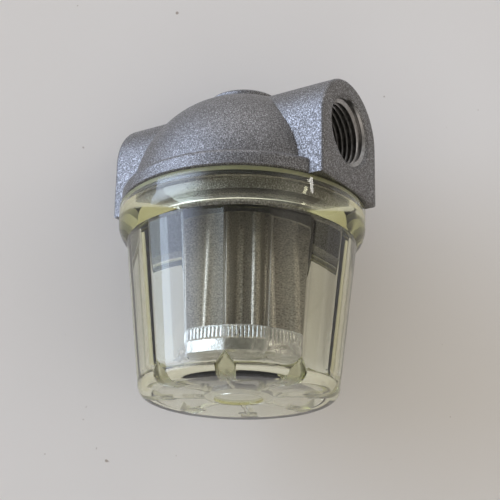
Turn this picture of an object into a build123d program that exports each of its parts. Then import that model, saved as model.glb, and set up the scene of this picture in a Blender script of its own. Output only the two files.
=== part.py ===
from build123d import *
import math
import os

# ---------------------------------------------------------------
# Small inline return line filter, clear bowl under a cast head
# millimetres, +Z up, X runs through the two ports
# ---------------------------------------------------------------

# bowl, outside
collar_r = 30.0
collar_step = 2.2          # how far the collar stands out past the cone
bowl_taper = 0.117         # radius gained per mm of height
bowl_corner = 2.6          # round at the bottom edge
bowl_neck_z = 37.8         # where the plain cone meets the collar
collar_round_z = 42.1      # the collar is straight above this height
collar_top_z = 46.5
collar_edge = 0.5

# bowl, inside
wall_edge = 1.75           # wall at the eight inside corners
space_corner = 2.4         # round in those corners
floor_t = 2.2
floor_round = 2.4
thread_ledge_z = 38.7
thread_gap = 0.3           # plain clearance between the two thread bodies
hub_r = 8.0
hub_h = 0.7
gate_r = 5.8               # shallow recess under the hub
gate_h = 0.6

# eight flats inside, with a thorn shaped gusset in each corner
gusset_n = 8
gusset_start = -65.0       # degrees from +X
gusset_foot_r = 15.2
gusset_w = 3.7
gusset_shoulder = 0.9      # height of the straight sides at the foot
gusset_tip_z = 5.4
gusset_root = 0.4          # how far a gusset is let into floor and wall
floor_rib_w = 0.9
floor_rib_h = 0.5

# head casting
running_gap = 0.3
collar_wall = 3.4          # collar wall left outside the thread bore
skirt_wall = 3.7
skirt_bottom_z = 39.6
flange_inset = 0.5         # flange edge inside the collar
flange_top_z = 51.0
flange_round = 1.4
dome_inset = 2.4           # dome inside the flange edge
dome_centre_z = 48.9
boss_r = 9.3
head_top_z = 75.9
ceiling_z = 50.6
head_edge = 0.8

# ports, G 3/8 parallel thread
port_z = 61.5
port_proud = 0.1           # port faces stand out past the collar
port_half_w = 13.0
port_thread_r = 8.33
port_mouth_r = 9.15
port_thread_depth = 12.5
passage_r = 6.0
drop_x = 15.2
drop_r = 4.6

# spigot under the ceiling
spigot_r = 8.0
spigot_bore_r = 5.0
spigot_end_z = 39.3

# bowl seal
oring_wire_r = 0.95

# filter element
element_r = 15.7
cap_sheet = 0.5
cap_bottom_z = 7.0
cap_rim_top_z = 13.4
cap_dish_r = 9.0
cap_dish_h = 0.9
mesh_tip_r = 16.8          # sharp corner, before it is rounded
mesh_valley_r = 10.7
mesh_sheet = 0.75          # measured along the radius
pleat_round = 0.9
pleat_n = 16
top_cap_bottom_z = 40.7
top_cap_top_z = 44.5
core_r = 9.7
core_wall = 0.6
core_hole_r = 1.3
core_hole_rows = 5
core_hole_cols = 8
seal_fit = 0.05
seal_section = 1.9
seal_head_h = 0.9
seal_len = 2.6
seal_lead = 0.4

# ---------------------------------------------------------------
# derived sizes
# ---------------------------------------------------------------
flange_r = collar_r - flange_inset
dome_r = flange_r - dome_inset
port_face_x = collar_r + port_proud
thread_bore_r = collar_r - collar_wall
skirt_r = thread_bore_r - thread_gap
bowl_base_r = collar_r - collar_step - bowl_taper * bowl_neck_z
flange_bottom_z = collar_top_z + running_gap
oring_r = skirt_r + oring_wire_r + 0.1
oring_z = flange_bottom_z - oring_wire_r
rim_bore_r = oring_r + oring_wire_r + running_gap
rim_bore_z = oring_z - oring_wire_r - running_gap
boss_foot_z = dome_centre_z + math.sqrt(dome_r ** 2 - boss_r ** 2)
ledge_r = math.sqrt(dome_r ** 2 - (flange_top_z - dome_centre_z) ** 2)
cone_top_r = bowl_base_r + bowl_taper * bowl_neck_z
cone_foot_r = bowl_base_r + bowl_taper * bowl_corner
inner_foot_z = floor_t + floor_round
inner_foot_r = bowl_base_r + bowl_taper * floor_t - wall_edge
inner_neck_r = bowl_base_r + bowl_taper * thread_ledge_z - wall_edge
neck_flat_r = inner_neck_r * math.cos(math.pi / gusset_n)
neck_flat_z = thread_ledge_z - 0.6 * (thread_bore_r - neck_flat_r)
seal_r = spigot_r + seal_fit
seal_lip_r = core_r - core_wall - 0.1

# ---------------------------------------------------------------
# head casting: dome, flange, skirt, two port blocks, passages
# ---------------------------------------------------------------
with BuildPart() as head:
    with BuildSketch(Plane.XZ):
        with BuildLine():
            Line((0, head_top_z), (boss_r - 0.5, head_top_z))
            Line((boss_r - 0.5, head_top_z), (boss_r, head_top_z - 0.5))
            Line((boss_r, head_top_z - 0.5), (boss_r, boss_foot_z))
            RadiusArc((boss_r, boss_foot_z), (ledge_r, flange_top_z), dome_r)
            Line((ledge_r, flange_top_z), (flange_r - flange_round, flange_top_z))
            RadiusArc(
                (flange_r - flange_round, flange_top_z),
                (flange_r, flange_top_z - flange_round),
                flange_round,
            )
            Line((flange_r, flange_top_z - flange_round), (flange_r, flange_bottom_z + 0.4))
            Line((flange_r, flange_bottom_z + 0.4), (flange_r - 0.4, flange_bottom_z))
            Line((flange_r - 0.4, flange_bottom_z), (skirt_r, flange_bottom_z))
            Line((skirt_r, flange_bottom_z), (skirt_r, skirt_bottom_z + 0.6))
            Line((skirt_r, skirt_bottom_z + 0.6), (skirt_r - 0.6, skirt_bottom_z))
            Line((skirt_r - 0.6, skirt_bottom_z), (0, skirt_bottom_z))
            Line((0, skirt_bottom_z), (0, head_top_z))
        make_face()
    revolve(axis=Axis.Z)
    # port blocks, arch topped
    with BuildSketch(Plane.YZ.offset(-port_face_x)):
        with Locations((0, port_z)):
            Circle(port_half_w)
        with Locations((0, (port_z + flange_bottom_z) / 2)):
            Rectangle(2 * port_half_w, port_z - flange_bottom_z)
    extrude(amount=2 * port_face_x)
    fillet(faces().filter_by(Axis.X).edges(), head_edge)
    # boss and dome stay proud of the blocks, cavity under the ceiling
    with BuildSketch(Plane.XY.offset(skirt_bottom_z)):
        Circle(skirt_r - skirt_wall)
    extrude(amount=ceiling_z - skirt_bottom_z, mode=Mode.SUBTRACT)
    with BuildSketch(Plane.XY.offset(spigot_end_z)):
        Circle(spigot_r)
    extrude(amount=ceiling_z - spigot_end_z + 0.5)
    # outlet, up the spigot and out along +X
    with BuildSketch(Plane.XY.offset(spigot_end_z)):
        Circle(spigot_bore_r)
    extrude(amount=port_z - spigot_end_z, mode=Mode.SUBTRACT)
    with BuildSketch(Plane.YZ):
        with Locations((0, port_z)):
            Circle(passage_r)
    extrude(amount=port_face_x, mode=Mode.SUBTRACT)
    # inlet, in along -X and down beside the spigot
    with BuildSketch(Plane.YZ.offset(-drop_x)):
        with Locations((0, port_z)):
            Circle(passage_r)
    extrude(amount=-(port_face_x - drop_x), mode=Mode.SUBTRACT)
    with BuildSketch(Plane.XY.offset(ceiling_z - 0.5)):
        with Locations((-drop_x, 0)):
            Circle(drop_r)
    extrude(amount=port_z - ceiling_z + 0.5, mode=Mode.SUBTRACT)
    # thread bores with their mouth chamfers
    with Locations(Location((port_face_x, 0, port_z), (0, 90, 0))):
        Cylinder(
            port_thread_r, port_thread_depth, mode=Mode.SUBTRACT,
            align=(Align.CENTER, Align.CENTER, Align.MAX),
        )
    with Locations(Location((-port_face_x, 0, port_z), (0, 90, 0))):
        Cylinder(
            port_thread_r, port_thread_depth, mode=Mode.SUBTRACT,
            align=(Align.CENTER, Align.CENTER, Align.MIN),
        )
    mouth_edges = edges().filter_by(GeomType.CIRCLE).filter_by(
        lambda e: abs(e.radius - port_thread_r) < 0.01
        and abs(abs(e.arc_center.X) - port_face_x) < 0.01
    )
    chamfer(mouth_edges, port_mouth_r - port_thread_r)
head.part.label = "head_casting"

# ---------------------------------------------------------------
# bowl seal, a ring at the root of the skirt
# ---------------------------------------------------------------
with BuildPart() as bowl_seal:
    with BuildSketch(Plane.XZ):
        with Locations((oring_r, oring_z)):
            Circle(oring_wire_r)
    revolve(axis=Axis.Z)
bowl_seal.part.label = "bowl_seal"

# ---------------------------------------------------------------
# one gusset, a thorn leaning on the wall, made along +X
# ---------------------------------------------------------------
gusset_back_r = inner_foot_r + gusset_root
gusset_tip_r = inner_foot_r + bowl_taper * (gusset_tip_z - floor_t) - gusset_root
gusset_mid_z = (gusset_tip_z + floor_t) / 2
with BuildPart() as gusset:
    with BuildSketch(Plane.XZ):
        with BuildLine():
            Line((gusset_foot_r, floor_t - gusset_root), (gusset_back_r, floor_t - gusset_root))
            Line((gusset_back_r, floor_t - gusset_root), (gusset_tip_r + 2 * gusset_root, gusset_tip_z))
            Line((gusset_tip_r + 2 * gusset_root, gusset_tip_z), (gusset_tip_r, gusset_tip_z))
            Spline(
                (gusset_tip_r, gusset_tip_z),
                ((gusset_tip_r + gusset_foot_r) / 2 + gusset_root, gusset_mid_z - gusset_root),
                (gusset_foot_r, floor_t),
            )
            Line((gusset_foot_r, floor_t), (gusset_foot_r, floor_t - gusset_root))
        make_face()
    extrude(amount=gusset_w, both=True)
    with BuildSketch(Plane.YZ):
        with BuildLine():
            foot = Line((-gusset_w / 2, floor_t - gusset_root), (gusset_w / 2, floor_t - gusset_root))
            right_side = Line(foot @ 1, (gusset_w / 2, floor_t + gusset_shoulder))
            right_edge = Spline(
                right_side @ 1,
                (gusset_w / 5, gusset_mid_z + gusset_root),
                (gusset_root / 2, gusset_tip_z),
            )
            point = Line(right_edge @ 1, (-gusset_root / 2, gusset_tip_z))
            left_edge = Spline(
                point @ 1,
                (-gusset_w / 5, gusset_mid_z + gusset_root),
                (-gusset_w / 2, floor_t + gusset_shoulder),
            )
            Line(left_edge @ 1, foot @ 0)
        make_face()
    extrude(amount=2 * collar_r, mode=Mode.INTERSECT)

# ---------------------------------------------------------------
# clear bowl: the eight sided space inside, then the bowl around it
# ---------------------------------------------------------------
with BuildPart() as bowl_space:
    with BuildSketch(Plane.XY.offset(floor_t)):
        RegularPolygon(inner_foot_r, gusset_n, rotation=gusset_start)
        fillet(vertices(), space_corner)
    with BuildSketch(Plane.XY.offset(thread_ledge_z)):
        RegularPolygon(inner_neck_r, gusset_n, rotation=gusset_start)
        fillet(vertices(), space_corner)
    loft()
    with BuildSketch(Plane.XZ):
        with BuildLine():
            Line((0, floor_t), (inner_foot_r - floor_round, floor_t))
            RadiusArc(
                (inner_foot_r - floor_round, floor_t),
                (inner_foot_r, inner_foot_z),
                -floor_round,
            )
            Line((inner_foot_r, inner_foot_z), (thread_bore_r, thread_ledge_z))
            Line((thread_bore_r, thread_ledge_z), (0, thread_ledge_z))
            Line((0, thread_ledge_z), (0, floor_t))
        make_face()
    revolve(axis=Axis.Z, mode=Mode.INTERSECT)

with BuildPart() as bowl:
    with BuildSketch(Plane.XZ):
        with BuildLine():
            Line((0, 0), (cone_foot_r - bowl_corner, 0))
            RadiusArc(
                (cone_foot_r - bowl_corner, 0),
                (cone_foot_r, bowl_corner),
                -bowl_corner,
            )
            Line((cone_foot_r, bowl_corner), (cone_top_r, bowl_neck_z))
            ThreePointArc(
                (cone_top_r, bowl_neck_z),
                (
                    collar_r - 0.31 * (collar_r - cone_top_r),
                    bowl_neck_z + 0.42 * (collar_round_z - bowl_neck_z),
                ),
                (collar_r, collar_round_z),
            )
            Line((collar_r, collar_round_z), (collar_r, collar_top_z - collar_edge))
            Line((collar_r, collar_top_z - collar_edge), (collar_r - collar_edge, collar_top_z))
            Line((collar_r - collar_edge, collar_top_z), (rim_bore_r, collar_top_z))
            Line((rim_bore_r, collar_top_z), (rim_bore_r, rim_bore_z))
            Line((rim_bore_r, rim_bore_z), (thread_bore_r, rim_bore_z))
            Line((thread_bore_r, rim_bore_z), (thread_bore_r, thread_ledge_z))
            Line((thread_bore_r, thread_ledge_z), (neck_flat_r, neck_flat_z))
            Line((neck_flat_r, neck_flat_z), (0, neck_flat_z))
            Line((0, neck_flat_z), (0, 0))
        make_face()
    revolve(axis=Axis.Z)
    add(bowl_space.part, mode=Mode.SUBTRACT)
    with BuildSketch(Plane.XY.offset(floor_t - 0.2)):
        with PolarLocations((hub_r + gusset_foot_r) / 2, gusset_n, start_angle=gusset_start):
            Rectangle(gusset_foot_r - hub_r + 1.6, floor_rib_w)
    extrude(amount=floor_rib_h + 0.2)
    with BuildSketch(Plane.XY.offset(floor_t - 0.2)):
        Circle(hub_r)
    extrude(amount=hub_h + 0.2)
    with BuildSketch(Plane.XY):
        Circle(gate_r)
    extrude(amount=gate_h, mode=Mode.SUBTRACT)
    with PolarLocations(0, gusset_n, start_angle=gusset_start):
        add(gusset.part)
bowl.part.label = "bowl"

# ---------------------------------------------------------------
# filter element: bottom cap, pleated mesh, core tube, top cap, seal
# ---------------------------------------------------------------
with BuildPart() as element_bottom_cap:
    with BuildSketch(Plane.XZ):
        with BuildLine():
            Polyline(
                (0, cap_bottom_z + cap_dish_h),
                (cap_dish_r - 1.0, cap_bottom_z + cap_dish_h),
                (cap_dish_r, cap_bottom_z),
                (element_r - 0.6, cap_bottom_z),
                (element_r, cap_bottom_z + 0.6),
                (element_r, cap_rim_top_z),
                (element_r - cap_sheet, cap_rim_top_z),
                (element_r - cap_sheet, cap_bottom_z + cap_sheet + 0.2),
                (element_r - cap_sheet - 0.2, cap_bottom_z + cap_sheet),
                (cap_dish_r + 0.3, cap_bottom_z + cap_sheet),
                (cap_dish_r - 0.7, cap_bottom_z + cap_dish_h + cap_sheet),
                (0, cap_bottom_z + cap_dish_h + cap_sheet),
                close=True,
            )
        make_face()
    revolve(axis=Axis.Z)
element_bottom_cap.part.label = "element_bottom_cap"

mesh_bottom_z = cap_bottom_z + cap_dish_h + cap_sheet
mesh_top_z = top_cap_top_z - cap_sheet
pleat_outer = []
pleat_inner = []
for i in range(2 * pleat_n):
    a = math.pi * i / pleat_n
    r = mesh_tip_r if i % 2 == 0 else mesh_valley_r
    pleat_outer.append((r * math.cos(a), r * math.sin(a)))
    pleat_inner.append(((r - mesh_sheet) * math.cos(a), (r - mesh_sheet) * math.sin(a)))
with BuildPart() as element_mesh:
    with BuildSketch(Plane.XY.offset(mesh_bottom_z)):
        with BuildLine():
            Polyline(*pleat_outer, close=True)
        make_face()
        fillet(vertices(), pleat_round)
        with BuildSketch(mode=Mode.SUBTRACT):
            with BuildLine():
                Polyline(*pleat_inner, close=True)
            make_face()
            fillet(vertices(), pleat_round)
    extrude(amount=mesh_top_z - mesh_bottom_z)
element_mesh.part.label = "element_mesh"

hole_pitch = (mesh_top_z - mesh_bottom_z) / (core_hole_rows + 1)
with BuildPart() as element_core:
    with BuildSketch(Plane.XY.offset(mesh_bottom_z)):
        Circle(core_r)
        Circle(core_r - core_wall, mode=Mode.SUBTRACT)
    extrude(amount=mesh_top_z - mesh_bottom_z)
    for row in range(core_hole_rows):
        for col in range(core_hole_cols // 2):
            turn = 180.0 / (core_hole_cols // 2) * (col + 0.5 * (row % 2))
            with Locations(Location((0, 0, mesh_bottom_z + hole_pitch * (row + 1)), (0, 0, turn))):
                Cylinder(
                    core_hole_r, 3 * core_r, rotation=(0, 90, 0), mode=Mode.SUBTRACT,
                )
element_core.part.label = "element_core"

with BuildPart() as element_top_cap:
    with BuildSketch(Plane.XZ):
        with BuildLine():
            Polyline(
                (seal_r + seal_section, top_cap_top_z),
                (element_r - 0.6, top_cap_top_z),
                (element_r, top_cap_top_z - 0.6),
                (element_r, top_cap_bottom_z),
                (element_r - cap_sheet, top_cap_bottom_z),
                (element_r - cap_sheet, top_cap_top_z - cap_sheet - 0.2),
                (element_r - cap_sheet - 0.2, top_cap_top_z - cap_sheet),
                (seal_r + seal_section, top_cap_top_z - cap_sheet),
                close=True,
            )
        make_face()
    revolve(axis=Axis.Z)
element_top_cap.part.label = "element_top_cap"

with BuildPart() as element_seal:
    with BuildSketch(Plane.XZ):
        with BuildLine():
            Polyline(
                (seal_r + seal_lead, top_cap_top_z + seal_head_h),
                (seal_r + seal_section + seal_head_h, top_cap_top_z + seal_head_h),
                (seal_r + seal_section + seal_head_h, top_cap_top_z),
                (seal_r + seal_section, top_cap_top_z),
                (seal_r + seal_section, top_cap_top_z - cap_sheet),
                (seal_lip_r, top_cap_top_z - cap_sheet),
                (seal_lip_r, top_cap_top_z - seal_len),
                (seal_r + seal_lead, top_cap_top_z - seal_len),
                (seal_r, top_cap_top_z - seal_len + seal_lead),
                (seal_r, top_cap_top_z + seal_head_h - seal_lead),
                close=True,
            )
        make_face()
    revolve(axis=Axis.Z)
element_seal.part.label = "element_seal"

# ---------------------------------------------------------------
# export
# ---------------------------------------------------------------
os.makedirs("parts", exist_ok=True)
export_step(head.part, "parts/head_casting.step")
export_step(bowl_seal.part, "parts/bowl_seal.step")
export_step(bowl.part, "parts/bowl.step")
export_step(element_bottom_cap.part, "parts/element_bottom_cap.step")
export_step(element_mesh.part, "parts/element_mesh.step")
export_step(element_core.part, "parts/element_core.step")
export_step(element_top_cap.part, "parts/element_top_cap.step")
export_step(element_seal.part, "parts/element_seal.step")
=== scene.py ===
# %% [markdown]
# # Return line filter
# A small inline filter: a cast head with a threaded port at each end, a clear
# bowl screwed on below it, and a pleated mesh element inside the bowl. The
# packed CAD is loaded as a fixed frame, in metres, with +Z up and +X out of
# the outlet port. Blender could model the whole filter again, but the solids
# already have the right sizes, so this lesson only adds finishes, threads, a
# finer skin for the bowl, some trim, a table, light and a camera.

# %% Load the packed frame
import math

import bmesh
import bpy
from mathutils import Matrix, Vector


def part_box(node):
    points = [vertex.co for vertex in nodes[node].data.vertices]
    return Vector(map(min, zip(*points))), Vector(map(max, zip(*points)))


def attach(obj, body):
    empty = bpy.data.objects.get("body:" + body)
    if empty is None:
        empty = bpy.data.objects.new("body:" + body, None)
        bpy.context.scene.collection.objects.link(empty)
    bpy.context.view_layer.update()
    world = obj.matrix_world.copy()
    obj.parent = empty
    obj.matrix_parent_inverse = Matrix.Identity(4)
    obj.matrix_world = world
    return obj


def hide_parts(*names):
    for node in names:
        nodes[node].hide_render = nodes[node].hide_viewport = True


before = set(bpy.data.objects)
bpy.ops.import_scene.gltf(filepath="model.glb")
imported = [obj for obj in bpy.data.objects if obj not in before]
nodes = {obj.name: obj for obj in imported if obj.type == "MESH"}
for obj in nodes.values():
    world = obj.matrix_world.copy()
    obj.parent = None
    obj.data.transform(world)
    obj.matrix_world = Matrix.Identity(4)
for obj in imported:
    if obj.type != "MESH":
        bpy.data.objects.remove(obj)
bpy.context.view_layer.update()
mm = 0.001
print("solids:", sorted(nodes))

# %% [markdown]
# ## Writing node trees
# A material is a tree of nodes. Each node could be placed and wired by hand in
# a few lines, which hides the idea behind the typing. A small wrapper that adds
# a node, feeds its sockets and hands back its output keeps every finish below
# short enough to read.

# %% A wrapper for node trees


class Tree:
    def __init__(self, tree):
        self.t = tree

    def add(self, kind, **values):
        """Add a node. A value is a setting of the node or one of its sockets."""
        n = self.t.nodes.new(kind)
        for key, value in values.items():
            if hasattr(n, key):
                setattr(n, key, value)
            else:
                self.feed(n.inputs[key.replace("_", " ")], value)
        return n

    def feed(self, socket, value):
        if isinstance(value, bpy.types.NodeSocket):
            self.t.links.new(value, socket)
        else:
            socket.default_value = value

    def noise(self, scale, detail, roughness=0.5):
        """Noise fixed to the object, so that it stays put when the part moves."""
        co = self.add("ShaderNodeTexCoord")
        n = self.add("ShaderNodeTexNoise", Detail=detail, Roughness=roughness, Scale=scale)
        self.feed(n.inputs["Vector"], co.outputs["Object"])
        return n.outputs["Fac"]

    def ramp(self, source, *stops):
        n = self.add("ShaderNodeValToRGB")
        while len(n.color_ramp.elements) < len(stops):
            n.color_ramp.elements.new(0.5)
        for e, (position, colour) in zip(n.color_ramp.elements, stops):
            e.position = position
            e.color = (*colour, 1)
        self.feed(n.inputs["Fac"], source)
        return n.outputs["Color"]

    def map_range(self, source, low, high, to_low=0.0, to_high=1.0, **settings):
        n = self.add("ShaderNodeMapRange", **settings)
        for label, value in (
            ("Value", source),
            ("From Min", low),
            ("From Max", high),
            ("To Min", to_low),
            ("To Max", to_high),
        ):
            self.feed(n.inputs[label], value)
        return n.outputs["Result"]

    def mix_colour(self, factor, a, b, blend="MIX"):
        n = self.add("ShaderNodeMix", data_type="RGBA", blend_type=blend)
        for i, value in ((0, factor), (6, a), (7, b)):
            self.feed(n.inputs[i], value)
        return n.outputs[2]

    def mix_value(self, factor, a, b):
        n = self.add("ShaderNodeMix", data_type="FLOAT")
        for i, value in ((0, factor), (2, a), (3, b)):
            self.feed(n.inputs[i], value)
        return n.outputs[0]

    def math(self, operation, *values):
        n = self.add("ShaderNodeMath", operation=operation)
        for socket, value in zip(n.inputs, values):
            self.feed(socket, value)
        return n.outputs["Value"]


tree_tools = [name for name in vars(Tree) if not name.startswith("_")]
print("a tree can:", ", ".join(tree_tools))

# %% [markdown]
# ## Groups and materials
# An effect that several finishes share could be copied into each of them, but
# then every change has to be made in all the copies. As a node group it is
# built once, and each material places it with its own values. The Principled
# shader stays in the material, where an export can read it.

# %% New groups and new materials


def new_group(name, outputs, inputs=()):
    g = bpy.data.node_groups.new(name, "ShaderNodeTree")
    for label, kind, value in inputs:
        s = g.interface.new_socket(label, in_out="INPUT", socket_type=kind)
        s.default_value = value
    for label, kind in outputs:
        g.interface.new_socket(label, in_out="OUTPUT", socket_type=kind)
    t = Tree(g)
    return g, t, t.add("NodeGroupInput").outputs, t.add("NodeGroupOutput").inputs


def new_material(name):
    m = bpy.data.materials.new(name)
    m.use_nodes = True
    m.node_tree.nodes.clear()
    t = Tree(m.node_tree)
    out = t.add("ShaderNodeOutputMaterial")
    bsdf = t.add("ShaderNodeBsdfPrincipled")
    t.feed(out.inputs["Surface"], bsdf.outputs["BSDF"])
    return m, t, bsdf, out


def use_group(t, group, **values):
    n = t.t.nodes.new("ShaderNodeGroup")
    n.node_tree = group
    for key, value in values.items():
        t.feed(n.inputs[key], value)
    return n.outputs


def add_bump(t, bsdf, height, strength, distance):
    n = t.add("ShaderNodeBump", Strength=strength, Distance=distance)
    t.feed(n.inputs["Height"], height)
    t.feed(bsdf.inputs["Normal"], n.outputs["Normal"])


colour, value = "NodeSocketColor", "NodeSocketFloat"
print("group sockets:", colour, value)

# %% [markdown]
# ## Cast aluminium
# The head is a die casting that was blasted with shot, so its skin is a fine
# sparkling grain with broad, faint stains. An image of metal would do for one
# view, but it stretches on the dome. Noise in object space has the same grain
# everywhere. One noise drives colour, roughness and height together, because
# on the real skin a raised grain is brighter and shinier at once.

# %% Grain of the casting
grain_scale, stain_scale = 3500.0, 70.0
pit_roughness, top_roughness = 0.52, 0.32
casting_grain, g, inputs, outputs = new_group(
    "casting_grain",
    [("Color", colour), ("Roughness", value), ("Height", value)],
    [("Grain", value, grain_scale)],
)
grain = g.noise(inputs["Grain"], 3.0, 0.6)
stain = g.noise(stain_scale, 4.0, 0.55)
tone = g.ramp(
    grain,
    (0.32, (0.085, 0.081, 0.078)),
    (0.5, (0.175, 0.171, 0.169)),
    (0.68, (0.47, 0.47, 0.48)),
)
veil = g.ramp(stain, (0.35, (0.90, 0.89, 0.88)), (0.65, (1.0, 1.0, 1.0)))
g.feed(outputs["Color"], g.mix_colour(1.0, tone, veil, "MULTIPLY"))
g.feed(outputs["Roughness"], g.map_range(grain, 0.3, 0.7, pit_roughness, top_roughness))
g.feed(outputs["Height"], grain)
print("group", casting_grain.name, "has", len(casting_grain.nodes), "nodes")

# %% Cast aluminium
mat_cast, t, bsdf, _ = new_material("cast_aluminium")
skin = use_group(t, casting_grain, Grain=grain_scale)
t.feed(bsdf.inputs["Base Color"], skin["Color"])
t.feed(bsdf.inputs["Roughness"], skin["Roughness"])
bsdf.inputs["Metallic"].default_value = 0.85
add_bump(t, bsdf, skin["Height"], strength=0.8, distance=0.00014)
print("material", mat_cast.name)

# %% [markdown]
# ## Cut metal, steel and rubber
# The other opaque finishes differ in colour, shine and the size of their
# marks, but all of them are two tones scattered by a noise. Each could have a
# tree of its own, but then the same nodes would be typed five times. So they
# share one group, and one function turns it into a material. The simplest of
# them is the rubber of both seals: matt black with a faint bloom.

# %% Two scattered tones
two_tones, g, inputs, outputs = new_group(
    "two_tones",
    [("Color", colour), ("Height", value)],
    [
        ("Scale", value, 900.0),
        ("Detail", value, 3.0),
        ("Softness", value, 0.5),
        ("Spread", value, 0.2),
        ("Dark", colour, (0.1, 0.1, 0.1, 1)),
        ("Light", colour, (0.5, 0.5, 0.5, 1)),
    ],
)
marks = g.noise(inputs["Scale"], inputs["Detail"], inputs["Softness"])
low = g.math("SUBTRACT", 0.5, inputs["Spread"])
high = g.math("ADD", 0.5, inputs["Spread"])
share = g.map_range(marks, low, high)
g.feed(outputs["Color"], g.mix_colour(share, inputs["Dark"], inputs["Light"]))
g.feed(outputs["Height"], marks)
print("group", two_tones.name, "has", len(two_tones.nodes), "nodes")

# %% A finish of two tones


def two_tone_finish(
    name, scale, detail, dark, light, metallic, roughness, softness=0.5, spread=0.2, bump=None
):
    m, t, bsdf, _ = new_material(name)
    tones = use_group(
        t,
        two_tones,
        Scale=scale,
        Detail=detail,
        Softness=softness,
        Spread=spread,
        Dark=(*dark, 1),
        Light=(*light, 1),
    )
    t.feed(bsdf.inputs["Base Color"], tones["Color"])
    bsdf.inputs["Metallic"].default_value = metallic
    bsdf.inputs["Roughness"].default_value = roughness
    if bump:
        add_bump(t, bsdf, tones["Height"], *bump)
    print("material", name)
    return m


mat_rubber = two_tone_finish(
    "black_rubber",
    scale=1200.0,
    detail=2.0,
    dark=(0.010, 0.010, 0.011),
    light=(0.022, 0.022, 0.022),
    metallic=0.0,
    roughness=0.5,
)

# %% [markdown]
# ## Metal that was cut
# The port threads are bright from being cut, and the land above the seal is turned and dull. The
# head's thread inside the bowl gets a near-black colour with sharp glints: the near-black colour is
# painted shade for the narrow gap between that thread and the bowl, and the glints come from its
# real shine. The marks of cutting could be engraved as fine grooves, but they are far smaller than
# the threads, so colour and shine do the work. Only the shaded thread gets a bump as well.

# %% Cut and turned metal, and a thread in painted shade
mat_thread = two_tone_finish(
    "cut_thread",
    scale=900.0,
    detail=4.0,
    dark=(0.30, 0.29, 0.28),
    light=(0.52, 0.51, 0.50),
    metallic=1.0,
    roughness=0.30,
)
mat_land = two_tone_finish(
    "turned_land",
    scale=700.0,
    detail=3.0,
    dark=(0.58, 0.57, 0.52),
    light=(0.76, 0.75, 0.70),
    metallic=0.2,
    roughness=0.5,
)
# The near-black colour of this finish is painted shade: it stands in for the shade in the gap
# between the head's thread and the bowl.
mat_thread_painted_shade = two_tone_finish(
    "thread_painted_shade",
    scale=260.0,
    detail=3.0,
    dark=(0.016, 0.016, 0.016),
    light=(0.07, 0.068, 0.06),
    metallic=0.9,
    roughness=0.18,
    spread=0.15,
    bump=(0.5, 0.0005),
)

# %% [markdown]
# ## Mesh and pressed steel
# The element is woven wire. The wires could be drawn one by one, but there are
# thousands and each is thinner than what the eye makes out here, so the weave
# is a tight grain in colour and height. The caps are bright sheet that ripples
# a little where the press drew it, so their bump is broad and soft.

# %% Mesh and pressed steel
mat_mesh = two_tone_finish(
    "steel_mesh",
    scale=3600.0,
    detail=2.0,
    dark=(0.24, 0.218, 0.188),
    light=(0.68, 0.64, 0.575),
    metallic=0.7,
    roughness=0.38,
    bump=(0.5, 0.0001),
)
mat_steel = two_tone_finish(
    "pressed_steel",
    scale=620.0,
    detail=5.0,
    dark=(0.40, 0.40, 0.39),
    light=(0.66, 0.66, 0.66),
    metallic=1.0,
    roughness=0.16,
    softness=0.65,
    bump=(0.6, 0.0004),
)

# %% [markdown]
# ## Where the plastic is frosted
# The bowl is polished except on its small gussets and on its rim, where the
# mould was left rough. Those places could be separate pieces with their own
# material, but then the clear plastic would be cut apart inside. A mask
# worked out from the object's own coordinates marks them on one skin.

# %% Mask of the frosted places
gusset_first_deg = -65.0
gusset_count = 8
frost_half_w, frost_shoulder_z, frost_slope = 1.95 * mm, 3.1 * mm, 0.72
frost_z, frost_r = (2.3 * mm, 5.6 * mm), (15.3 * mm, 22.9 * mm)
frost_rim_z, frost_rim_r = 45.65 * mm, 28.5 * mm
frost, g, inputs, outputs = new_group(
    "gusset_frost", [("Mask", value)], [("Start", value, gusset_first_deg)]
)
co = g.add("ShaderNodeTexCoord")
xyz = g.add("ShaderNodeSeparateXYZ", Vector=co.outputs["Object"]).outputs
x_squared = g.math("MULTIPLY", xyz["X"], xyz["X"])
y_squared = g.math("MULTIPLY", xyz["Y"], xyz["Y"])
radius = g.math("SQRT", g.math("ADD", x_squared, y_squared))
turn = g.math("SUBTRACT", g.math("ARCTAN2", xyz["Y"], xyz["X"]), g.math("RADIANS", inputs["Start"]))
fold = g.math("PINGPONG", turn, math.radians(180.0 / gusset_count))
across = g.math("MULTIPLY", radius, g.math("SINE", fold))
over_shoulder = g.math("MAXIMUM", g.math("SUBTRACT", xyz["Z"], frost_shoulder_z), 0.0)
half_width = g.math("SUBTRACT", frost_half_w, g.math("MULTIPLY", over_shoulder, frost_slope))
in_gusset = g.math("LESS_THAN", across, half_width)
for what, (least, most) in ((xyz["Z"], frost_z), (radius, frost_r)):
    in_gusset = g.math("MULTIPLY", in_gusset, g.math("GREATER_THAN", what, least))
    in_gusset = g.math("MULTIPLY", in_gusset, g.math("LESS_THAN", what, most))
high_up = g.math("GREATER_THAN", xyz["Z"], frost_rim_z)
far_out = g.math("GREATER_THAN", radius, frost_rim_r)
in_rim = g.math("MULTIPLY", high_up, far_out)
g.feed(outputs["Mask"], g.math("MAXIMUM", in_gusset, in_rim))
print("group", frost.name, "marks", gusset_count, "gussets and the rim")

# %% [markdown]
# ## Clear plastic
# Clear plastic gets its look from light that passes through it. A tinted
# surface would be equally green everywhere, while the real bowl is only green
# where light runs a long way inside it: at the edges, the rim and the floor.
# So the surface is colourless and the tint sits in the volume, as absorption.

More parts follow.
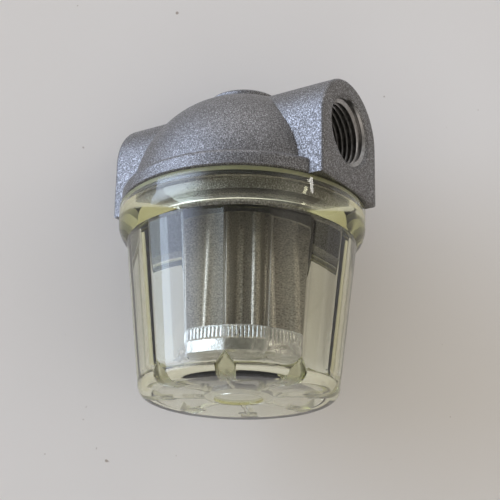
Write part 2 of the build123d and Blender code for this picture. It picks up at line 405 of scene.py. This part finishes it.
# %% Clear bowl plastic
mat_bowl, t, bsdf, out = new_material("clear_bowl")
polish_roughness, frost_roughness, absorb_density = 0.03, 0.45, 74.0
bsdf.inputs["IOR"].default_value = 1.53
bsdf.inputs["Transmission Weight"].default_value = 1.0
flow = t.noise(160.0, 2.0)
frosted = use_group(t, frost, Start=gusset_first_deg)["Mask"]
polish = t.map_range(flow, 0.3, 0.7, 0.0, polish_roughness)
t.feed(bsdf.inputs["Roughness"], t.mix_value(frosted, polish, frost_roughness))
t.feed(bsdf.inputs["Base Color"], t.mix_colour(frosted, (1, 1, 1, 1), (0.78, 0.79, 0.56, 1)))
add_bump(t, bsdf, flow, strength=0.03, distance=0.0004)
absorb = t.add("ShaderNodeVolumeAbsorption", Density=absorb_density)
absorb.inputs["Color"].default_value = (0.76, 0.75, 0.20, 1)
t.feed(out.inputs["Volume"], absorb.outputs["Volume"])
print("material", mat_bowl.name, "absorbs at", absorb_density)

# %% [markdown]
# ## Finishes for the CAD solids
# The solids have the right shapes and plain grey finishes. Each could be copied
# and the copy dressed, but two equal surfaces in one place fight for the same
# light. So the solids stay as they are, and only what is in their material
# slots changes.

# %% Dress the solids
finish_of = {
    "head_casting": mat_cast,
    "bowl_seal": mat_rubber,
    "bowl": mat_bowl,
    "element_bottom_cap": mat_steel,
    "element_top_cap": mat_steel,
    "element_core": mat_steel,
    "element_mesh": mat_mesh,
    "element_seal": mat_rubber,
}
for name, finish in finish_of.items():
    for s in nodes[name].material_slots:
        s.material = finish
print("dressed", len(finish_of), "solids")

# %% [markdown]
# ## From points to a piece
# Most of the trim on a filter is round, so nearly every new mesh is a row of
# points carried round the axis. They could be lathed with the Screw modifier,
# but these rows change as they go round, so each one is written out and two
# neighbours are joined by faces. One helper joins them and another puts the
# result on its body.

# %% Join rows of points, and place a piece


def join_rows(bm, rows, closed=True):
    """Faces between each row and the next one. Closed also joins last to first."""
    following = rows[1:] + rows[:1] if closed else rows[1:]
    count = len(rows[0])
    for p, q in zip(rows, following):
        for i in range(count):
            j = (i + 1) % count
            bm.faces.new((p[i], p[j], q[j], q[i]))


def to_mesh(bm, name, smooth=False, sharp_deg=None):
    bmesh.ops.recalc_face_normals(bm, faces=bm.faces)
    for f in bm.faces:
        f.smooth = smooth
    mesh = bpy.data.meshes.new(name)
    bm.to_mesh(mesh)
    bm.free()
    if sharp_deg is not None:
        mesh.set_sharp_from_angle(angle=math.radians(sharp_deg))
    return mesh


def place(name, mesh, material, body, matrix=None):
    o = bpy.data.objects.new(name, mesh)
    bpy.context.scene.collection.objects.link(o)
    if matrix is not None:
        o.matrix_world = matrix
    mesh.materials.append(material)
    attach(o, body)
    print(name, "rides on", body, "with", len(mesh.polygons), "faces")
    return o


def on_circle(r, a, z):
    return r * math.cos(a), r * math.sin(a), z


print("a quarter turn from +X:", [round(c, 3) for c in on_circle(1, math.pi / 2, 0)])

# %% [markdown]
# ## Port threads
# A pipe thread is tapped into each port. It could be painted on as stripes or
# a bump, but the mouth is wide open and the turns show in outline. A ridge of
# four-cornered section that winds up a helix is real geometry with few faces.
# The bore in the solid is at the thread's outer diameter, so the ridge stands
# inwards from it, and it fades out at both ends as a cut thread does.

# %% A ridge on a helix
fade_turns, least_crest = 0.4, 0.02


def helix_ridge(name, r_root, r_crest, pitch, turns, root_w, crest_w, steps, smooth=False):
    """A closed ridge that winds up +Z from z = 0."""
    bm = bmesh.new()
    rings = []
    total = int(turns * steps)
    fade_steps = steps * fade_turns
    half_root, half_crest = root_w / 2, crest_w / 2
    for i in range(total + 1):
        a = 2 * math.pi * i / steps
        z = pitch * i / steps
        fade = max(least_crest, min(1.0, i / fade_steps, (total - i) / fade_steps))
        crest = r_root + (r_crest - r_root) * fade
        section = (
            (r_root, -half_root),
            (crest, -half_crest),
            (crest, half_crest),
            (r_root, half_root),
        )
        rings.append([bm.verts.new(on_circle(r, a, z + dz)) for r, dz in section])
    join_rows(bm, rings, closed=False)
    bm.faces.new(rings[0][::-1])
    bm.faces.new(rings[-1])
    return to_mesh(bm, name, smooth, 30 if smooth else None)


port_steps = 96
print("one turn of a port thread has", 4 * port_steps, "faces")

# %% The turns in both ports
port_face_x, port_z = 30.1 * mm, 61.5 * mm
first_turn_in = 0.8 * mm
for name, side in (("port_thread_outlet", 1), ("port_thread_inlet", -1)):
    ridge = helix_ridge(
        name,
        r_root=8.36 * mm,
        r_crest=7.48 * mm,
        pitch=1.337 * mm,
        turns=8.2,
        root_w=1.30 * mm,
        crest_w=0.22 * mm,
        steps=port_steps,
    )
    lay_down = Matrix.Rotation(math.radians(-90 * side), 4, "Y")
    move = Matrix.Translation((side * (port_face_x - first_turn_in), 0, port_z))
    place(name, ridge, mat_thread, "head", move @ lay_down)

# %% [markdown]
# ## The bowl: sizes
# The bowl is one clear moulding. Its outside is round and tapers, and its
# inside has sixteen narrow flats. On the floor stand eight thorn-shaped
# gussets, thin ribs that run in from them, and a flat hub. Joining such parts
# with booleans leaves faces inside the plastic, and every inner face shows in
# glass. So the bowl is one closed skin, and everything on the floor is a
# height. All sizes are in millimetres.

# %% Sizes of the bowl
flats = 16
round_steps = flats * 18
first_gusset = math.radians(gusset_first_deg)
foot_r, taper = 23.377, 0.117
wall, floor_z = 1.75, 2.2
outer_corner, inner_corner = 2.6, 2.4
hub_r, hub_h = 8.0, 0.7
gate_r, gate_h = 5.8, 0.6
neck_z, wall_top_z = 37.8, 38.35
swell_r, swell_z = 29.318, 39.606
collar_r, collar_round_z, collar_top_z, collar_edge = 30.0, 42.1, 46.5, 0.5
groove_r, groove_z = 28.6, 44.6
bore_r, ledge_z = 26.6, 38.7
print("outside radius at the neck in mm:", round(foot_r + taper * neck_z, 2))

# %% [markdown]
# ## The bowl: flats and floor
# A regular polygon is a circle whose radius dips in the middle of each side,
# so one factor over the angle turns the round wall into flats. The floor
# starts level, rises with the inner corner, and then takes the highest of the
# rib and the gusset at that spot. A gusset climbs outwards and falls off
# steeply to its sides, which gives the thorn.

# %% Flats of the wall


def flat_factor(a):
    """Radius of a regular polygon with a corner radius of 1."""
    step = 2 * math.pi / flats
    off = (a - first_gusset) % step - step / 2
    return math.cos(math.pi / flats) / math.cos(off)


def wall_r(a, z):
    return flat_factor(a) * (foot_r + taper * z - wall)


flat_dip = wall_r(first_gusset, 0) * (1 - math.cos(math.pi / flats))
print("a flat dips by", round(flat_dip, 2), "mm")

# %% Height of the floor
rib_half_w, rib_h, rib_from_r = 0.45, 0.85, 7.6
gusset_from_r, gusset_half_w, gusset_run = 15.2, 1.85, 6.66
gusset_foot_rise, gusset_climb = 0.8, 2.4
gusset_tip_z, gusset_fall = 5.4, 2.3
tip_half_w, side_w, side_curve = 0.2, 1.65, 0.62


def floor_height(r, a):
    if r < hub_r:
        return floor_z + hub_h
    z = floor_z
    bend = foot_r + taper * floor_z - wall - inner_corner
    if r > bend:
        z += inner_corner - math.sqrt(max(0.0, inner_corner**2 - (r - bend) ** 2))
    step = 2 * math.pi / gusset_count
    off = (a - first_gusset + step / 2) % step - step / 2
    across = abs(r * math.sin(off))
    if across < rib_half_w and r > rib_from_r:
        z = max(z, floor_z + rib_h)
    if r > gusset_from_r and across < gusset_half_w:
        s = (r - gusset_from_r) / gusset_run
        ridge_z = floor_z + gusset_foot_rise * s + gusset_climb * s * s
        down_side = max(0.0, across - tip_half_w) / side_w
        side_z = gusset_tip_z - gusset_fall * down_side**side_curve
        z = max(z, min(ridge_z, side_z))
    return z


print("floor by a gusset:", round(floor_height(21.0, first_gusset), 2), "mm high")

# %% [markdown]
# ## The bowl: outside
# From the gate mark under the hub the outline runs out to the foot, round its
# corner, up the taper, and swells into the collar. The swelling is an arc
# through three points, which is easier to match to a real part than a radius.
# It ends over the rim, down the seal's groove and the thread's bore.

# %% Outline of the outside


def arc_through(p, q, s, count):
    """Points on the circle through three (r, z) points."""
    ax, ay, bx, by, cx, cy = *p, *q, *s
    d = 2 * (ax * (by - cy) + bx * (cy - ay) + cx * (ay - by))
    a2, b2, c2 = ax**2 + ay**2, bx**2 + by**2, cx**2 + cy**2
    ux = (a2 * (by - cy) + b2 * (cy - ay) + c2 * (ay - by)) / d
    uy = (a2 * (cx - bx) + b2 * (ax - cx) + c2 * (bx - ax)) / d
    r = math.hypot(ax - ux, ay - uy)
    start, end = math.atan2(ay - uy, ax - ux), math.atan2(cy - uy, cx - ux)
    angles = [start + (end - start) * k / count for k in range(count + 1)]
    return [(ux + r * math.cos(a), uy + r * math.sin(a)) for a in angles]


foot = foot_r + taper * outer_corner
neck = foot_r + taper * neck_z
outside = [(gate_r, gate_h), (gate_r, 0.0)]
for deg in range(0, 91, 9):
    b = math.radians(deg)
    r = foot - outer_corner + outer_corner * math.sin(b)
    outside.append((r, outer_corner - outer_corner * math.cos(b)))
for k in range(1, 12):
    z = outer_corner + (neck_z - outer_corner) * k / 12
    outside.append((foot + (neck - foot) * k / 12, z))
outside += arc_through((neck, neck_z), (swell_r, swell_z), (collar_r, collar_round_z), 10)
outside += [
    (collar_r, collar_top_z - collar_edge),
    (collar_r - collar_edge, collar_top_z),
    (groove_r, collar_top_z),
    (groove_r, groove_z),
    (bore_r, groove_z),
    (bore_r, ledge_z),
]
print("outline of", len(outside), "points")

# %% [markdown]
# ## The bowl: one closed skin
# Every ring has the same number of points, whether it belongs to the outside,
# the wall or the floor, so the rings join without a seam. The wall's rings
# start where the floor ends at that angle, and so the foot of the wall bends
# round each gusset. The skin is drawn in place of the bowl's solid, while the
# solid goes on serving as the bowl that things bump into.

# %% Points on the wall and the floor
wall_steps, floor_steps = 24, 56
corner_guess_z = 4.0
hub_edge = 0.01
hub_top_r = 7.4


def wall_foot(a):
    return floor_height(wall_r(a, corner_guess_z), a)


def wall_point(a, share):
    low = wall_foot(a)
    z = low + (wall_top_z - low) * share
    return wall_r(a, z), z


def floor_point(a, share):
    inner = hub_r + hub_edge
    r = inner + (wall_r(a, wall_foot(a)) - inner) * share
    return r, floor_height(r, a)


print("foot of the wall by a gusset in mm:", round(wall_foot(first_gusset), 2))

# %% Sew the bowl's skin


def bowl_skin(name):
    bm = bmesh.new()
    angles = [first_gusset + 2 * math.pi * i / round_steps for i in range(round_steps)]
    hub_z = floor_z + hub_h
    loops = [[point] * round_steps for point in outside]
    loops += [[wall_point(a, k / wall_steps) for a in angles] for k in range(wall_steps, 0, -1)]
    loops += [[floor_point(a, 1 - k / floor_steps) for a in angles] for k in range(floor_steps + 1)]
    loops += [[(r, hub_z)] * round_steps for r in (hub_r, hub_top_r)]
    rings = [
        [bm.verts.new(on_circle(mm * r, a, mm * z)) for a, (r, z) in zip(angles, loop)]
        for loop in loops
    ]
    join_rows(bm, rings, closed=False)
    for end, z in ((rings[0], gate_h), (rings[-1], hub_z)):
        centre = bm.verts.new((0, 0, mm * z))
        for i in range(round_steps):
            bm.faces.new((end[i], end[(i + 1) % round_steps], centre))
    return to_mesh(bm, name, True, 28)


o = place("bowl_skin", bowl_skin("bowl_skin"), mat_bowl, "bowl")
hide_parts("bowl")

# %% [markdown]
# ## Bowl thread
# The bowl screws onto the head's skirt with a coarse thread. Both halves are the same helical ridge
# as in the ports: the head's stands outwards and is near black, which is painted shade for the gap
# between skirt and bowl, and the bowl's stands inwards and is clear. Flat rings would be simpler,
# but a thread's lines slope and run out, and that shows through the clear collar. The bowl's ridge
# starts half a pitch lower, so that the two run in each other's gaps.

# %% Both halves of the bowl thread
bowl_pitch, bowl_steps = 2.0 * mm, 120
skirt_start_z = 39.9 * mm
skirt_ridge = helix_ridge(
    "skirt_thread",
    r_root=26.28 * mm,
    r_crest=26.52 * mm,
    pitch=bowl_pitch,
    turns=1.7,
    root_w=1.5 * mm,
    crest_w=0.7 * mm,
    steps=bowl_steps,
    smooth=True,
)
lift = Matrix.Translation((0, 0, skirt_start_z))
# The skirt thread's near-black finish is painted shade for the gap between skirt and bowl.
place("skirt_thread", skirt_ridge, mat_thread_painted_shade, "head", lift)

bowl_ridge = helix_ridge(
    "bowl_thread",
    r_root=26.58 * mm,
    r_crest=26.36 * mm,
    pitch=bowl_pitch,
    turns=1.6,
    root_w=1.2 * mm,
    crest_w=0.4 * mm,
    steps=bowl_steps,
    smooth=True,
)
lift = Matrix.Translation((0, 0, skirt_start_z - bowl_pitch / 2))
place("bowl_thread", bowl_ridge, mat_bowl, "bowl", lift)

# %% [markdown]
# ## Seal line and land
# The seal is a round cord, but once the bowl is screwed home it is squeezed
# flat, and what shows through the collar is a thin black line with a pale
# turned land above it. A torus would show as a thick black band. A ring with
# a flat section and small rounded corners is what the squeezed cord looks
# like, and the same helper makes the land.

# %% Squeezed seal and turned land


def squeezed_ring(name, r_in, r_out, z_low, z_high, corner, around=192):
    """A ring of flat section with rounded corners."""
    bm = bmesh.new()
    section = []
    corners = ((r_out, z_high, 0), (r_in, z_high, 90), (r_in, z_low, 180), (r_out, z_low, 270))
    for r, z, start in corners:
        mid_r = r + (-corner if r == r_out else corner)
        mid_z = z + (-corner if z == z_high else corner)
        for deg in (0, 30, 60, 90):
            b = math.radians(start + deg)
            section.append((mid_r + corner * math.cos(b), mid_z + corner * math.sin(b)))
    turns = [2 * math.pi * i / around for i in range(around)]
    join_rows(bm, [[bm.verts.new(on_circle(r, a, z)) for r, z in section] for a in turns])
    return to_mesh(bm, name, True)


seal_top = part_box("bowl_seal")[1][2]
skirt_clear_r, line_r, land_r = 26.35 * mm, 28.5 * mm, 28.4 * mm
line_top, line_thick, line_corner = seal_top - 1.05 * mm, 1.0 * mm, 0.2 * mm
line = squeezed_ring(
    "seal_line", skirt_clear_r, line_r, line_top - line_thick, line_top, line_corner
)
o = place("seal_line", line, mat_rubber, "head")
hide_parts("bowl_seal")
land_low, land_top, land_corner = line_top + 0.06 * mm, seal_top - 0.02 * mm, 0.1 * mm
land = squeezed_ring("seal_land", skirt_clear_r, land_r, land_low, land_top, land_corner)
place("seal_land", land, mat_land, "head")

# %% [markdown]
# ## Crimped rim of the bottom cap
# The edge of the cap is pressed in fine upright teeth against the mesh. A
# striped bump would vanish at the edge of the cap, where the teeth catch the
# light. A ring with four points to each tooth, one of them further in, keeps
# the teeth in outline, and a slow wave in their depth keeps them from looking
# machined.

# %% Crimp the cap


def crimp_ring(name, r_in, r_out, depth, z0, z1, teeth):
    bm = bmesh.new()
    count = teeth * 4
    tooth_shape = (0.0, 0.8, 1.0, 0.8)
    turns = [2 * math.pi * i / count for i in range(count)]
    rows = []
    for level, bulge in ((0.0, 0.25), (0.12, 1.0), (0.85, 1.0), (1.0, 0.3)):
        row = []
        for i, a in enumerate(turns):
            lean = 0.15 * math.sin(5 * a) + 0.12 * math.sin(11 * a + 1.0)
            hollow = depth * (1 - tooth_shape[i % 4]) * (1 + lean)
            r = r_in + (r_out - r_in) * bulge * (1 - hollow)
            row.append(bm.verts.new(on_circle(r, a, z0 + (z1 - z0) * level)))
        rows.append(row)
    rows += [[bm.verts.new(on_circle(r_in, a, z)) for a in turns] for z in (z1, z0)]
    join_rows(bm, rows)
    return to_mesh(bm, name)


cap_r, _, cap_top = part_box("element_bottom_cap")[1]
teeth, tooth_depth = 128, 0.6
ring_in, ring_out = cap_r - 0.05 * mm, cap_r + 0.24 * mm
ring_low, ring_high = cap_top - 3.1 * mm, cap_top + 0.05 * mm
crimp = crimp_ring("cap_crimp", ring_in, ring_out, tooth_depth, ring_low, ring_high, teeth)
place("cap_crimp", crimp, mat_steel, "element")

# %% [markdown]
# ## Table
# The filter lies on its back on a pale table and is seen from above. It could
# be tipped over in Blender, but then it would leave the frame that its joints
# are stated in. So the filter stays upright and the table is a tilted plane a
# hair behind the solids. Seen from its back the table is clear, so that it
# never hides the filter.

# %% A tilted table


def direction(azimuth, elevation):
    """A unit vector: 0 degrees is the front, 90 the outlet's side."""
    a, e = math.radians(azimuth), math.radians(elevation)
    return Vector((math.sin(a) * math.cos(e), -math.cos(a) * math.cos(e), math.sin(e)))


table_normal = direction(36.0, -9.0)
lowest = min(v.co.dot(table_normal) for o in nodes.values() for v in o.data.vertices)
side_x = Vector((0, 0, 1)).cross(table_normal).normalized()
side_y = table_normal.cross(side_x)
table_gap, table_shift, table_reach = 0.2 * mm, 0.045, 1.6
centre = table_normal * (lowest - table_gap) + side_y * table_shift
corners = [
    centre + (side_x * x + side_y * y) * table_reach
    for x, y in ((-1, -1), (1, -1), (1, 1), (-1, 1))
]
table_mesh = bpy.data.meshes.new("table")
table_mesh.from_pydata(corners, [], [(0, 1, 2, 3)])
table = bpy.data.objects.new("table", table_mesh)
bpy.context.scene.collection.objects.link(table)
print("table lies", round(-lowest / mm, 1), "mm behind the bowl's axis")

# %% Painted table top
mat_table, t, bsdf, out = new_material("pale_table")
paint = t.ramp(t.noise(9.0, 3.0), (0.3, (0.80, 0.765, 0.715)), (0.7, (0.84, 0.81, 0.765)))
speck = (0.55, 0.5, 0.45)
specks = t.ramp(t.noise(420.0, 1.0), (0.0, speck), (0.16, speck), (0.20, (1, 1, 1)))
t.feed(bsdf.inputs["Base Color"], t.mix_colour(1.0, paint, specks, "MULTIPLY"))
bsdf.inputs["Roughness"].default_value = 0.55
bsdf.inputs["Specular IOR Level"].default_value = 0.3
behind = t.add("ShaderNodeNewGeometry").outputs["Backfacing"]
clear = t.add("ShaderNodeBsdfTransparent").outputs["BSDF"]
pick = t.add("ShaderNodeMixShader", Fac=behind)
t.feed(pick.inputs[1], bsdf.outputs["BSDF"])
t.feed(pick.inputs[2], clear)
t.feed(out.inputs["Surface"], pick.outputs["Shader"])
table_mesh.materials.append(mat_table)
print("material", mat_table.name)

# %% [markdown]
# ## The room
# Metal and clear plastic show the room more than they show themselves. An
# image of a real room would work, but this needs only a few soft patches: a dim
# wall behind the viewer, a cool window to the left that lights the side of the
# port blocks, a dark corner to the right, and a dark patch that the collar
# mirrors, so that what is inside it can be seen. Each patch is a smooth lobe
# around a direction, blended over a plain gradient.

# %% Soft patches of light
world = bpy.data.worlds.new("room")
bpy.context.scene.world = world
world.use_nodes = True
world.node_tree.nodes.clear()
t = Tree(world.node_tree)
looking = t.add("ShaderNodeTexCoord").outputs["Generated"]
height = t.map_range(t.add("ShaderNodeSeparateXYZ", Vector=looking).outputs["Z"], -1.0, 1.0)
sky = t.ramp(
    height,
    (0.0, (0.50, 0.48, 0.45)),
    (0.45, (0.60, 0.58, 0.55)),
    (0.75, (0.66, 0.67, 0.68)),
    (1.0, (0.72, 0.74, 0.78)),
)


def lobe(towards, inner, outer):
    """1 within the inner angle of a direction, 0 beyond the outer one."""
    d = t.add("ShaderNodeVectorMath", operation="DOT_PRODUCT")
    t.feed(d.inputs[0], looking)
    t.feed(d.inputs[1], towards)
    rim, core = math.cos(math.radians(outer)), math.cos(math.radians(inner))
    return t.map_range(d.outputs["Value"], rim, core, interpolation_type="SMOOTHSTEP")


patches = {
    "wall behind the viewer": (direction(45, -18), 20, 70, (0.74, 0.69, 0.635)),
    "dark corner": (direction(135, 15), 20, 60, (0.34, 0.30, 0.26)),
    "dark patch in the collar": (direction(36, 20), 16, 42, (0.22, 0.215, 0.20)),
    "ceiling": (direction(10, 72), 8, 38, (0.95, 0.96, 1.05)),
    "cool window": (direction(-45, 22), 12, 44, (3.6, 4.2, 5.5)),
}
for towards, inner, outer, tint in patches.values():
    sky = t.mix_colour(lobe(towards, inner, outer), sky, (*tint, 1))
background = t.add("ShaderNodeBackground", Color=sky, Strength=1.0)
t.feed(t.add("ShaderNodeOutputWorld").inputs["Surface"], background.outputs["Background"])
print("room with", len(patches), "patches:", ", ".join(patches))

# %% [markdown]
# ## Lamps
# A wide lamp overhead gives the soft shadow on the table, and a slim one to
# the right puts a small glint on the collar. A sun lamp would be quicker to
# set, but its shadow is hard and its glint is a dot. Both lamps are weak,
# because the room already lights the filter at about the level at which a
# colour looks as it was written.

# %% Two area lamps
aim = Vector((0, 0, 0.04677))


def area_lamp(name, away, distance, width, height, watts, tint):
    data = bpy.data.lights.new(name, "AREA")
    data.shape = "RECTANGLE"
    data.size, data.size_y = width, height
    data.energy = watts
    data.color = tint
    o = bpy.data.objects.new(name, data)
    o.location = aim + away * distance
    o.rotation_euler = (aim - o.location).to_track_quat("-Z", "Y").to_euler()
    bpy.context.scene.collection.objects.link(o)
    print("lamp", name, watts, "W")


area_lamp("ceiling", direction(15, 74), 1.3, 1.0, 0.8, 2.4, (1.0, 0.98, 0.95))
area_lamp("far_window", direction(97, 22), 1.1, 0.06, 0.30, 0.5, (1.0, 0.97, 0.92))

# %% [markdown]
# ## Camera
# The camera looks up at the standing filter from its right front, which is
# the same as looking down on it where it lies. A Track To constraint could aim
# it, but has no setting for roll, so the camera's three axes are worked out
# and written as a matrix: first the direction back to the eye, then the roll
# about it, then a small turn that puts the filter a little off centre.

# %% Place the camera
azimuth, elevation, roll = 33.267, -21.568, math.radians(1.211)
eye_distance = 0.32547
turn_right, turn_down = 0.00562585, 0.02811417

back = direction(azimuth, elevation)
level = Vector((math.cos(math.radians(azimuth)), math.sin(math.radians(azimuth)), 0))
upright = back.cross(level)
right = math.cos(roll) * level + math.sin(roll) * upright
up = math.cos(roll) * upright - math.sin(roll) * level
look = (right * turn_right - up * turn_down - back).normalized()
axis_z = -look
axis_x = (right - axis_z * right.dot(axis_z)).normalized()
axis_y = axis_z.cross(axis_x)
eye = aim + back * eye_distance

cam_data = bpy.data.cameras.new("camera")
cam_data.sensor_width = 36.0
cam_data.lens = 95.6
cam_data.clip_start = 0.01
cam = bpy.data.objects.new("camera", cam_data)
bpy.context.scene.collection.objects.link(cam)
bpy.context.scene.camera = cam
rows = [(*row, at) for row, at in zip(zip(axis_x, axis_y, axis_z), eye)]
cam.matrix_world = Matrix(rows + [(0, 0, 0, 1)])
bpy.context.scene.view_settings.view_transform = "Standard"
print("camera", round((eye - aim).length, 3), "m away with a", cam_data.lens, "mm lens")

# %% [markdown]
